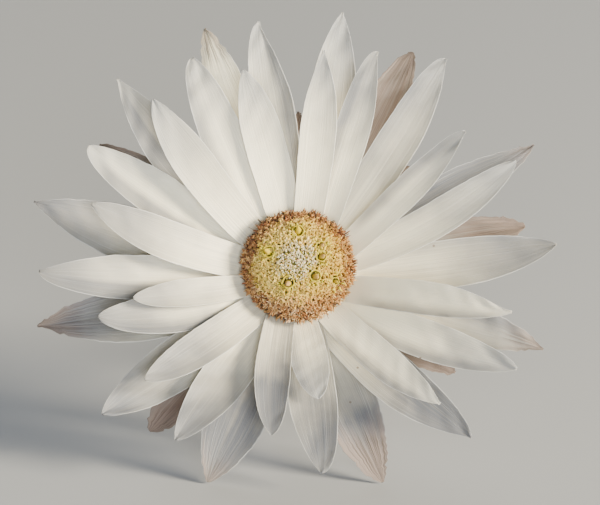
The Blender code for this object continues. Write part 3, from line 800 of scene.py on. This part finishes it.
def zone(node, finish, layers, inner, outer, low, deep, colour):
    """One zone of the disc as a piece: its layers, over a ground of one colour that follows the dome a little
    below it, a closed section turned about the axis. The ground's dark colour is partly the colour low down
    among the florets and partly painted shade in the gaps between them."""
    radius = np.linspace(inner, outer, 5)
    top = np.stack([radius, dome_height(radius) - deep], axis=1)[::-1]
    ground, ground_faces = lathed([(inner, low), (outer, low), *top.tolist()], 96)
    # The dark ground: partly the colour low among the florets, partly painted shade in the gaps.
    layers = [*layers, (ground, ground_faces, np.tile(colour, (len(ground), 1)))]
    points, faces = joined(*[layer[:2] for layer in layers])
    tone = np.concatenate([layer[2] for layer in layers])
    piece(node + "_fine", laid(points), faces, finish, node, {"tone": tone})


# %% [markdown]
# Every part of the disc keeps its own tone at each point, so one kind of finish serves them all. It adds
# only the speckle and the roughness of pollen.

# %% The disc's finish
DARK_SPECKLE = (0.16, 0.09, 0.03)
PALE_SPECKLE = (0.86, 0.72, 0.42)


def disc_finish(name, pale=0.22, **constants):
    """The tone that each point keeps, speckled and roughened as fine as pollen."""
    finish = Finish(name, Subsurface_Scale=0.0003, Specular_IOR_Level=0.3, **constants)
    speckle = finish.noise(finish.place(), 9000.0)
    colour = finish.layered(
        finish.kept("tone"),
        (DARK_SPECKLE, speckle.step(0.5, 0.25) * 0.30),
        (PALE_SPECKLE, speckle.step(0.60, 0.80) * pale),
    )
    return finish.done(colour, 0.6 + speckle * 0.3, speckle, 0.00004, 0.6)


# %% [markdown]
# ### The buds in the middle
# Fat green buds show between the bristles, whose white tufted tips cover most of the middle. Further out
# the bristles are creamier.

# %% Buds and their bristles
draw = np.random.default_rng(11)
spindles, _ = tuft(
    buds, draw, SPINDLE, each=1, out=0, lean=0.45, sink=0.3,
    length=0.66, width=0.33, depth=0.33, splay=0, curl=0.05,
)
bud_tone = blended(OLIVE, YELLOW, draw.uniform(0, 0.9, len(spindles)))
bristles, bristle_at = tuft(
    buds, draw, BRISTLE, each=17, out=0.20, lean=0.40, sink=0.3,
    length=0.86, width=0.10, depth=0.10, splay=-0.02, curl=0.12,
)
creamier = np.clip(np.linalg.norm(bristle_at, axis=1) - 0.6, 0, 1) * 0.7
bristle_tone = blended(PALE_CREAM, BRISTLE_WHITE, draw.uniform(0.3, 2.0, len(bristle_at)) - creamier)
layers = [painted_rods(spindles, bud_tone, 0.6), painted_rods(bristles, bristle_tone, 0.5)]
bud_finish = disc_finish("bristles_and_buds", Subsurface_Weight=0.15)
zone("centre_buds", bud_finish, layers, inner=0.02, outer=2.1, low=3.2, deep=0.22, colour=OLIVE)

# %% [markdown]
# ### The cream ring
# Its florets are five-lobed tubes, with tufted bristles between them. Seven stand open and taller: a yellow
# tube whose throat is darkened by painted shade and whose lip has a painted highlight, and in it the pale
# column of the anthers, leaning out.

# %% Cream florets
TUBE = [
    (0.16, -0.5, 0), (0.20, 0.05, 0), (0.31, 0.30, 0.28),
    (0.27, 0.33, 0.30), (0.13, 0.12, 0), (0.09, -0.3, 0),
]
# Painted shade at the foot and inside of each tube, ring by ring.
TUBE_SHADE = (0.3, 0.7, 1.0, 1.0, 0.7, 0.45)
OPEN_TUBE = [
    (0.42, -0.8, 0), (0.50, 0.1, 0), (0.58, 0.36, 0.02), (0.70, 0.47, 0.05), (0.69, 0.52, 0.06),
    (0.59, 0.52, 0.03), (0.52, 0.40, 0.02), (0.47, 0.0, 0), (0.36, -0.5, 0),
]
# Painted shade at the foot and deep in the throat, and a painted highlight on the lip.
OPEN_SHADE_AND_HIGHLIGHT = (0.4, 0.8, 1.05, 1.15, 1.15, 0.8, 0.3, 0.10, 0.06)
CRUMBS_EACH = 9
TUBE_SIDES = 10
OPEN_SIDES = 30


def uneven_tubes(at, draw, section, lean, stray, sizes):
    """A tube for each floret, of uneven size and turn, that leans out and a little astray."""
    base, direction = on_dome(at, lean)
    direction = unit(direction + draw.normal(0, stray, direction.shape))
    size = draw.uniform(*sizes, len(at))
    return tubes(base, direction, section, size, draw.uniform(0, 6, len(at)), TUBE_SIDES)


draw = np.random.default_rng(12)
lobed = uneven_tubes(creams, draw, TUBE, lean=0.45, stray=0.16, sizes=(0.8, 1.45))
tube_age = age_at(creams, draw)
tube_tone = blended(PALE_CREAM, CREAM, draw.uniform(0, 1, len(creams)))
tube_tone = deepened(blended(tube_tone, TAN, tube_age * 0.9), creams)

crumbs, crumb_at = tuft(
    creams, draw, CRUMB, each=CRUMBS_EACH, out=0.26, lean=0.45, sink=0.3,
    length=0.64, width=0.18, depth=0.12, splay=0.15, curl=0.30,
)
crumb_age = age_at(crumb_at, draw, 0.35)
inner_white = np.clip((2.7 - np.linalg.norm(crumb_at, axis=1)) / 0.5, 0, 1) * 0.6
near_open = np.linalg.norm(crumb_at[:, None] - OPEN_FLORETS[None], axis=2).min(axis=1)
near_open = np.clip((1.35 - near_open) / 0.5, 0, 0.85)
ochre = (draw.uniform(0, 1, len(crumb_at)) < 0.14) * 0.7
crumb_tone = blended(CREAM, PALE_CREAM, floret_draw(len(creams), CRUMBS_EACH, draw) * 1.6 - 0.4)
washes = ((BRISTLE_WHITE, inner_white), (YELLOW, near_open), (OCHRE, ochre), (TAN, crumb_age * 0.9))
for colour, share in washes:
    crumb_tone = blended(crumb_tone, colour, share)

open_base, open_direction = on_dome(OPEN_FLORETS, 0.3)
halos, halo_at = tuft(
    OPEN_FLORETS, draw, CRUMB, each=22, out=0.66, lean=0.3, sink=0.1,
    length=0.62, width=0.17, depth=0.12, splay=0.35, curl=0.35,
)
halo_tone = blended(YELLOW, PALE_CREAM, draw.uniform(0.0, 0.5, len(halo_at)))
opened = tubes(open_base, open_direction, OPEN_TUBE, OPEN_SIZES, np.arange(len(OPEN_SIZES)), OPEN_SIDES)
layers = [
    painted_tubes(lobed, tube_tone, TUBE_SHADE),
    painted_rods(crumbs, deepened(crumb_tone, crumb_at), 0.4),
    painted_rods(halos, halo_tone, 0.5),
    painted_tubes(opened, np.tile(YELLOW, (len(OPEN_SIZES), 1)), OPEN_SHADE_AND_HIGHLIGHT),
]
cream_finish = disc_finish("cream_florets", Subsurface_Weight=0.1)
below = blended(OLIVE, DARK, np.array(0.5))
zone("cream_florets", cream_finish, layers, inner=2.15, outer=4.5, low=3.2, deep=0.28, colour=below)

# %% [markdown]
# Out of each open floret stands the column of its anthers, with five shallow grooves. It is yellow, and on
# most of them pink at the tip. The columns are a piece of their own, as their finish has hardly any pale
# speckle.

# %% Anther columns
COLUMN_SWELL = np.array([0.8, 0.85, 0.92, 0.98, 1.0, 0.97, 0.88, 0.72, 0.46, 0.12])
COLUMN_SHARES = np.linspace(0, 1, len(COLUMN_SWELL))
COLUMN_SIDES = 16
ANTHER_YELLOW = (0.42, 0.30, 0.01)
ANTHER_PINK = (0.36, 0.22, 0.08)
PINK_TIPS = np.array([0.0, 0.1, 1.0, 0.7, 0.9, 0.8, 0.2])


def anthers(foot, direction, outward, length, radius):
    """A round column with five shallow grooves and a domed end, that leans outwards as it rises."""
    share = COLUMN_SHARES[:, None, None]
    angle = np.arange(COLUMN_SIDES) * 2 * np.pi / COLUMN_SIDES
    u, v = crosswise(direction[None], np.zeros(1))
    around = u * np.cos(angle)[:, None] + v * np.sin(angle)[:, None]
    grooved = radius * COLUMN_SWELL[:, None] * (1 + 0.08 * np.cos(5 * angle))
    middle = foot + length * (direction * share + outward * 0.28 * share**2)
    return (middle + grooved[..., None] * around[None]).reshape(-1, 3)


columns = []
for at, base, upright, size in zip(OPEN_FLORETS, open_base, open_direction, OPEN_SIZES):
    outward = unit(np.array([*at, 0.0]))
    columns.append(anthers(base - 0.4 * upright, upright, outward, 1.30 * size, 0.36 * size))
points, faces = gathered(np.array(columns), ring_faces(len(COLUMN_SWELL), COLUMN_SIDES))
whole = len(COLUMN_SWELL) * COLUMN_SIDES
ends = np.arange(COLUMN_SIDES)[::-1], np.arange(whole - COLUMN_SIDES, whole)
caps = [end + whole * k for k in range(len(columns)) for end in ends]
tip_share = np.clip((COLUMN_SHARES - 0.55) / 0.3, 0, 1)[None] * PINK_TIPS[:, None]
tone = np.repeat(blended(ANTHER_YELLOW, ANTHER_PINK, tip_share), COLUMN_SIDES, axis=1).reshape(-1, 3)
column_finish = disc_finish("anthers", 0.05, Subsurface_Weight=0.1)
node = "cream_florets"
piece("anther_columns", laid(points), faces, column_finish, node, {"tone": tone}, caps)

# %% [markdown]
# ### The withered ring
# Outermost, the lobes have curled and browned, and some dark bristles stick out past the edge over the
# bracts. Seen from the side, a close fence of old tubes stands between them and the bracts.

# %% Withered florets
SHRUNK = [
    (0.15, -0.5, 0), (0.17, 0.10, 0.1), (0.24, 0.34, 0.45),
    (0.21, 0.36, 0.50), (0.11, 0.15, 0), (0.08, -0.3, 0),
]
STICK = (1.0, 0.9, 0.8, 0.5)
POST = (0.9, 1.1, 1.0, 0.5)
SPENT_EACH = 7  # lobes, and bristles, round each floret
POSTS = 490

draw = np.random.default_rng(13)
shrunk = uneven_tubes(spents, draw, SHRUNK, lean=0.85, stray=0.22, sizes=(0.8, 1.2))
shrunk_age = age_at(spents, draw)
brown = blended(TAN, RUST, draw.uniform(0, 1, len(spents)))
shrunk_tone = deepened(blended(CREAM, brown, shrunk_age), spents)
lobes, lobe_at = tuft(
    spents, draw, LOBE, each=SPENT_EACH, out=0.20, lean=0.75, sink=0.25,
    length=0.50, width=0.20, depth=0.09, splay=0.25, curl=0.50,
)
hairs, hair_at = tuft(
    spents, draw, BRISTLE, each=SPENT_EACH, out=0.26, lean=0.75, sink=0.3,
    length=0.60, width=0.10, depth=0.10, splay=0.10, curl=0.25,
)


def withered_tone(at, draw):
    """Cream to pale tan, tan, rust, red-brown or near black, by age and by a draw. The top and the upper left
    are the darkest and the bottom the palest."""
    age = age_at(at, draw)
    upper = 0.15 + 0.85 * np.cos(np.arctan2(at[:, 1], at[:, 0]) - 2.0)
    dark = floret_draw(len(at) // SPENT_EACH, SPENT_EACH, draw) * 1.5 - 0.3 + upper * 0.45
    brown = blended(PALE_TAN, TAN, dark * 3)
    for colour, start, speed, most in ((RUST, 0.2, 1.5, 1), (RED_BROWN, 0.55, 3, 0.8), (DARK, 0.95, 4, 0.9)):
        brown = blended(brown, colour, np.minimum((dark - start) * speed, most))
    return deepened(blended(CREAM, brown, age), at)


def pointing(angle, out, up, stray, draw):
    """Vectors that point out and up by this much at each angle, each a little astray."""
    straight = np.column_stack([turned(angle, out), np.full(len(angle), up)])
    return straight + draw.normal(0, stray, straight.shape)


angle = np.concatenate([
    draw.uniform(0, 2 * np.pi, 26),
    *[draw.normal(*group) for group in ((2.55, 0.25, 12), (1.0, 0.2, 8), (0.2, 0.25, 12))],
])
count = len(angle)
rim, outward = on_dome(turned(angle, draw.uniform(5.3, 5.7, count)), 1.0)
bend = pointing(angle, 0.25, 0.0, 0.15, draw)
outward = unit(outward + draw.normal(0, 0.3, (count, 3)))
lengths = draw.uniform(0.35, 0.8, count)
sticks = rods(rim, outward, bend, lengths, 0.12, 0.09, STICK)
stick_tone = blended(DARK, RED_BROWN, draw.uniform(-0.5, 1, count))

angle = np.arange(POSTS) * 2 * np.pi / POSTS + draw.normal(0, 0.02, POSTS)
foot = np.column_stack([turned(angle, draw.uniform(5.55, 5.80, POSTS)), draw.uniform(2.9, 3.8, POSTS)])
upright = unit(pointing(angle, 0.2, 1.0, 0.25, draw))
bend = pointing(angle, 0.15, 0.0, 0.1, draw)
lengths, widths = draw.uniform(0.6, 1.1, POSTS), draw.uniform(0.12, 0.20, POSTS)
fence = rods(foot, upright, bend, lengths, widths, 0.12, POST)

layers = [
    painted_tubes(shrunk, shrunk_tone, TUBE_SHADE),
    painted_rods(lobes, withered_tone(lobe_at, draw), 0.45),
    painted_rods(hairs, withered_tone(hair_at, draw), 0.45),
    painted_rods(sticks, stick_tone, 0.7),
    painted_rods(fence, withered_tone(turned(angle, 5.6), draw), 0.35),
]
spent_finish = disc_finish("withered_florets", Subsurface_Weight=0.05)
zone("spent_florets", spent_finish, layers, inner=4.55, outer=5.75, low=3.3, deep=0.35, colour=DARK)

# %% [markdown]
# ## Behind the head
# From behind, short dry scales cover the base of the head like tiles, on a cup that the receptacle sits in.
# They are made as the ray bracts are, as thin stitched sheets, only shorter and straw brown with clear
# edges.

# %% The involucre
SHELL_PROFILE = [
    (4.65, -1.65), (4.32, -2.65), (3.30, -4.25), (2.35, -5.35), (1.60, -5.80), (1.70, -6.05), (2.60, -5.95),
    (3.30, -5.45), (4.05, -4.70), (5.05, -3.00), (5.50, -1.65),
]
ScaleRow = namedtuple("ScaleRow", "count root low length rise early width first")
SCALE_ROWS = [
    ScaleRow(count=7, root=1.2, low=-7.00, length=2.0, rise=0.9, early=0.6, width=1.35, first=25),
    ScaleRow(count=9, root=1.9, low=-6.15, length=3.0, rise=1.7, early=0.3, width=2.1, first=5),
    ScaleRow(count=11, root=3.3, low=-4.95, length=4.0, rise=1.5, early=1.3, width=2.6, first=0),
    ScaleRow(count=13, root=3.9, low=-3.95, length=4.0, rise=1.3, early=1.3, width=2.7, first=8),
    ScaleRow(count=12, root=4.6, low=-2.85, length=4.2, rise=0.8, early=1.3, width=2.9, first=14),
]
SCALE_ROWS_ALONG = 18
SCALE_COLUMNS = 9
SCALE_THICKNESS = 0.22
SCALE_TROUGH = 0.13


def scale_sheet(row, azimuth, draw):
    """One scale as a thin sheet: out from its root at this azimuth, up by rise (early t + (1 - early) t^2),
    with a pointed tip and a trough that is a share of its width."""
    t = 1 - (1 - np.linspace(0, 1, SCALE_ROWS_ALONG)) ** 1.3
    w = np.linspace(-1, 1, SCALE_COLUMNS)
    length = row.length * draw.uniform(0.93, 1.03)
    sway = draw.normal(0, 0.05) * t**2
    line = (row.root + length * t)[:, None] * turned(azimuth + sway)
    form = Bract(0, 1, 0, 0, row.width * draw.uniform(0.94, 1.04), 1, 0.85, brown=0.5)
    half = bract_outline(t, w, form, draw)
    height = row.low + row.rise * t * (row.early + (1 - row.early) * t)
    trough = SCALE_TROUGH * row.width * np.abs(w) ** 1.5 * half / half.max()
    lift = height[:, None] + trough + 0.08 * (wander(t, draw, 3) * t)[:, None]
    thickness = SCALE_THICKNESS * (1 - 0.7 * w**2) * (1 - 0.4 * t[:, None])
    return thin_sheet(line, w, t, half, lift, thickness, draw)


# %% [markdown]
# A scale is straw brown, darkest along the keel in its middle and almost clear at its thin edges. Fine lines
# run along it, as on the bracts.

# %% The scales' finish
STRAW = (0.34, 0.24, 0.13)
PALE_STRAW = (0.56, 0.45, 0.29)
KEEL = (0.18, 0.10, 0.055)
CLEAR_EDGE = (0.76, 0.70, 0.56)
BLOTCH = (0.26, 0.14, 0.09)
BROWN_TIP = (0.28, 0.15, 0.10)


def scale_finish():
    """Straw brown with a darker keel and fine lines, and paler, almost clear edges."""
    finish = Finish("straw_scales", Subsurface_Weight=0.1, Subsurface_Scale=0.0005, Specular_IOR_Level=0.4)
    across, along, seed = finish.three("place")
    threads = finish.noise(finish.vector(across * 12 + seed * 23, along * 1.5, seed * 5), 1.0, 3.0, 0.6)
    clouds = finish.noise(finish.place(), 900.0)
    colour = finish.layered(
        STRAW,
        (PALE_STRAW, threads.step(0.35, 0.65)),
        (KEEL, abs(across).step(0.45, 0.0) * (1 - along * 0.7) * 0.7),
        (CLEAR_EDGE, abs(across).step(0.50, 0.90) * 0.75),
        (BLOTCH, clouds.step(0.58, 0.72) * 0.35),
        (BROWN_TIP, (along + (threads - 0.5) * 0.3).step(0.84, 1.0) * 0.6),
    )
    return finish.done(colour, 0.45 + threads * 0.25, threads + clouds * 0.4, 0.00006, 0.8)


draw = np.random.default_rng(41)
scales = []
for row in SCALE_ROWS:
    for index in range(row.count):
        azimuth = math.radians(row.first) + (index + draw.normal(0, 0.06)) * 2 * math.pi / row.count
        scales.append(scale_sheet(row, azimuth, draw))
sheets, places = zip(*scales)
shell = lathed(SHELL_PROFILE, 96)
points, faces = joined(gathered(np.array(sheets), sheet_faces(SCALE_ROWS_ALONG, SCALE_COLUMNS)), shell)
place = np.concatenate([*places, np.tile([0.5, 0.2, 0.5], (len(shell[0]), 1))])
node = "involucre_scales"
piece(node + "_fine", laid(points), faces, scale_finish(), node, {"place": place})

# %% [markdown]
# ## The stem
# The stem widens into the pad that carries the florets, so both are one skin: rings carried along the
# head's axis and then down a parabola to the table. It is ribbed, and felted with short white hairs that
# lie along it.

# %% The stem's path
STEM_END = np.array([-5.0, 34.4, 0.95])
STEM_RADIUS = 0.93
PAD_PROFILE = np.array([  # heights and radii
    (2.9, 4.30), (-1.2, 4.30), (-2.6, 3.90), (-4.2, 2.90), (-5.6, 1.90), (-7.0, 1.25), (-8.2, 0.96),
])
STEM_RINGS = 150
PAD_RINGS = 60
RIBBED_FROM = 45  # ring
STEM_COLUMNS = 72


def eased(where, knots, heights):
    """A smooth curve through given points: cubic pieces whose slopes come from the points on both sides."""
    slopes = np.gradient(heights, knots)
    k = np.clip(np.searchsorted(knots, where) - 1, 0, len(knots) - 2)
    gap = knots[k + 1] - knots[k]
    u = (where - knots[k]) / gap
    change = heights[k + 1] - heights[k]
    lead, tail = slopes[k] * gap, slopes[k + 1] * gap
    return heights[k] + u * (lead + u * (3 * change - 2 * lead - tail + u * (lead + tail - 2 * change)))


axis = -HEAD_AXES[2]
top, bottom = PAD_PROFILE[[0, -1], 0]
neck = laid(np.array([0, 0, bottom]))
bend = neck + axis * (neck[2] - STEM_END[2]) / -axis[2]
straight = np.linspace(top, bottom, PAD_RINGS)
pad_line = laid(np.stack([0 * straight, 0 * straight, straight], axis=1))
pad_radius = np.clip(eased(-straight, -PAD_PROFILE[:, 0], PAD_PROFILE[:, 1]), 0.9, 4.3)
u = np.linspace(0, 1, STEM_RINGS - PAD_RINGS + 1)[1:, None]
stem_line = neck * (1 - u) ** 2 + bend * 2 * u * (1 - u) + STEM_END * u**2
line = np.concatenate([pad_line, stem_line])
radius = np.concatenate([pad_radius, np.full(len(u), STEM_RADIUS)])
run = np.concatenate([[0], np.cumsum(np.linalg.norm(np.diff(line, axis=0), axis=1))])
print(f"the stem is {run[-1] - run[PAD_RINGS - 1]:.0f} mm long behind the head")

# %% [markdown]
# The skin is a row of rings along the path, with nine ribs that fade in behind the head, and it is closed by
# a cut with a sunken pith. The hairs are the same small rods as on the disc, laid along the stem.

# %% The stem and its hairs
RIBS = 9
HAIRS = 1500
HAIR = (1, 0.9, 0.4)
HAIR_WIDTH = 0.035
HAIR_DEPTH = 0.03
HAIRY_FROM = 52  # ring
LOWEST_HAIR = 0.02
CUT_END = ((0.93, 0.05), (0.6, 0.02), (0.25, -0.08))  # share of the radius, and how far past the end

draw = np.random.default_rng(51)
along = unit(np.gradient(line, axis=0))
along[:PAD_RINGS] = axis
right = unit(np.array([1.0, 0, 0]) - along[:, :1] * along)
up = np.cross(along, right)
angle = np.arange(STEM_COLUMNS) * 2 * np.pi / STEM_COLUMNS
ribs = np.cos(RIBS * angle[None] + 0.9 * wander(run / run[-1], draw, 3)[:, None])
ribbed = np.clip((run - run[RIBBED_FROM]) / 6, 0, 1)[:, None] * 0.045 * ribs
swollen = 0.02 * wander(run / run[-1] * 2, draw, 5)[:, None] * (radius[:, None] < 1.2)
skin_radius = radius[:, None] * (1 + ribbed + swollen)
around = right[:, None] * np.cos(angle)[None, :, None] + up[:, None] * np.sin(angle)[None, :, None]
skin = line[:, None] + around * skin_radius[..., None]
for share, past in CUT_END:
    cut = line[-1] + around[-1] * (skin_radius[-1] * share)[:, None] + along[-1] * past
    skin = np.concatenate([skin, cut[None]])
rings = len(skin)
place = np.zeros((rings, STEM_COLUMNS, 3))
place[..., 0] = np.concatenate([run, np.full(3, run[-1])])[:, None] / run[-1]
place[..., 1] = np.cos(RIBS * angle)
place[STEM_RINGS:, :, 2] = 1
felt_at = np.zeros((rings, STEM_COLUMNS, 3))
felt_at[..., :2] = turned(angle)
felt_at[..., 2] = np.concatenate([run, run[-1] + np.array([0.1, 0.4, 0.7])])[:, None]

ring = draw.integers(HAIRY_FROM, STEM_RINGS - 2, HAIRS)
turn = draw.uniform(0, 2 * np.pi, HAIRS)
out = right[ring] * np.cos(turn)[:, None] + up[ring] * np.sin(turn)[:, None]
foot = line[ring] + out * (radius[ring] * 0.98)[:, None]
lie = along[ring] * draw.choice([-1, 1], HAIRS)[:, None] + draw.normal(0, 0.45, (HAIRS, 3)) + out * 0.1
lengths = draw.uniform(0.5, 1.3, HAIRS)
hairs = rods(foot, unit(lie), -out * 0.12, lengths, HAIR_WIDTH, HAIR_DEPTH, HAIR)
hairs[..., 2] = np.maximum(hairs[..., 2], LOWEST_HAIR)
hair_points, hair_faces = gathered(hairs, rod_faces(len(HAIR)))

# %% [markdown]
# Between the hairs lies a felt too fine to model, so it is painted: white lines along a grey green stem.
# Towards the cut the stem dries to straw.

# %% The stem's finish
GREEN = (0.19, 0.215, 0.11)
PALE_GREEN = (0.33, 0.33, 0.20)
FELT = (0.56, 0.57, 0.49)
DRY_END = (0.30, 0.21, 0.11)
PITH = (0.62, 0.55, 0.36)


def stem_finish():
    """Grey green with paler ribs under a felt of white hairs; straw with a pale pith where it is cut. Kept
    values: place is (share of the length, rib, cut), and felt_at is (cosine and sine round the stem, mm
    along it)."""
    finish = Finish("felted_stem", Subsurface_Weight=0.05, Subsurface_Scale=0.0005, Specular_IOR_Level=0.25)
    run_share, rib, is_cut = finish.three("place")
    turn_x, turn_y, run_mm = finish.three("felt_at")
    felt = finish.noise(finish.vector(turn_x * 7, turn_y * 7, run_mm * 1.1), 1.0, 4.0, 0.65)
    patches = finish.noise(finish.place(), 500.0)
    colour = finish.layered(
        GREEN,
        (PALE_GREEN, rib.step(-0.6, 0.9) * 0.6 + patches * 0.3),
        (FELT, felt.step(0.36, 0.66) * 0.65 + patches.step(0.4, 0.7) * 0.15),
        (DRY_END, run_share.step(0.93, 1.0) * 0.5),
        (PITH, is_cut * (0.6 + felt * 0.5)),
    )
    return finish.done(colour, 0.7 + felt * 0.25, felt + patches * 0.5, 0.00008, 0.8)


points, faces = joined((skin.reshape(-1, 3), ring_faces(rings, STEM_COLUMNS)), (hair_points, hair_faces))
points[:, 2] = np.maximum(points[:, 2], 0.0)
caps = [np.arange(STEM_COLUMNS)[::-1], np.arange((rings - 1) * STEM_COLUMNS, rings * STEM_COLUMNS)]
hair_place = np.tile([0.5, 1.0, 0.0], (len(hair_points), 1))
kept = {
    "place": np.concatenate([place.reshape(-1, 3), hair_place]),
    "felt_at": np.concatenate([felt_at.reshape(-1, 3), hair_place]),
}
piece("stem_fine", points, faces, stem_finish(), "stem", kept, caps)

# %% [markdown]
# ## Lights and table
# A white flower needs a table that is pale and yet darker than it is. The photograph's shadows fall to the
# left and up, so a warm light stands low on the right. A weaker one in front opens the shadows, and a cool
# one behind shows the stem and the backs of the bracts. All are large for their distance, so that no shadow
# is hard.

# %% Lights and table
TABLE_GREY = (0.37, 0.375, 0.38)
TABLE_HALF = 4.0  # metres


def lamp(name, place, size, power, colour):
    """A square area light at a place in metres that faces the flower's head."""
    data = bpy.data.lights.new(name, "AREA")
    data.shape = "SQUARE"
    data.size = size
    data.energy = power
    data.color = colour
    made = in_scene(name, data)
    made.location = place
    towards = Vector(laid(np.zeros(3)) / 1000) - Vector(place)
    made.rotation_euler = towards.to_track_quat("-Z", "Y").to_euler()


lamp("key", place=(0.855, -0.451, 0.307), size=0.32, power=47.0, colour=(1.0, 0.90, 0.70))
lamp("front", place=(0.079, -0.751, 0.16), size=0.30, power=7.0, colour=(0.92, 0.96, 1.0))
lamp("back", place=(-0.25, 1.20, 0.95), size=0.90, power=9.0, colour=(0.97, 0.98, 1.0))

world = bpy.data.worlds.new("studio")
world.use_nodes = True
sky = world.node_tree.nodes["Background"]
sky.inputs["Color"].default_value = (0.45, 0.72, 1.0, 1)
sky.inputs["Strength"].default_value = 0.10
bpy.context.scene.world = world

table_mesh = bpy.data.meshes.new("table")
x, y = TABLE_HALF * np.array([(-1, 1, 1, -1), (-1, -1, 1, 1)])
table_mesh.from_pydata(np.stack([x, y, 0 * x], axis=1).tolist(), [], [(0, 1, 2, 3)])
table_mesh.materials.append(Finish("table", Roughness=0.75, Base_Color=(*TABLE_GREY, 1)).material)
table = in_scene("table", table_mesh)
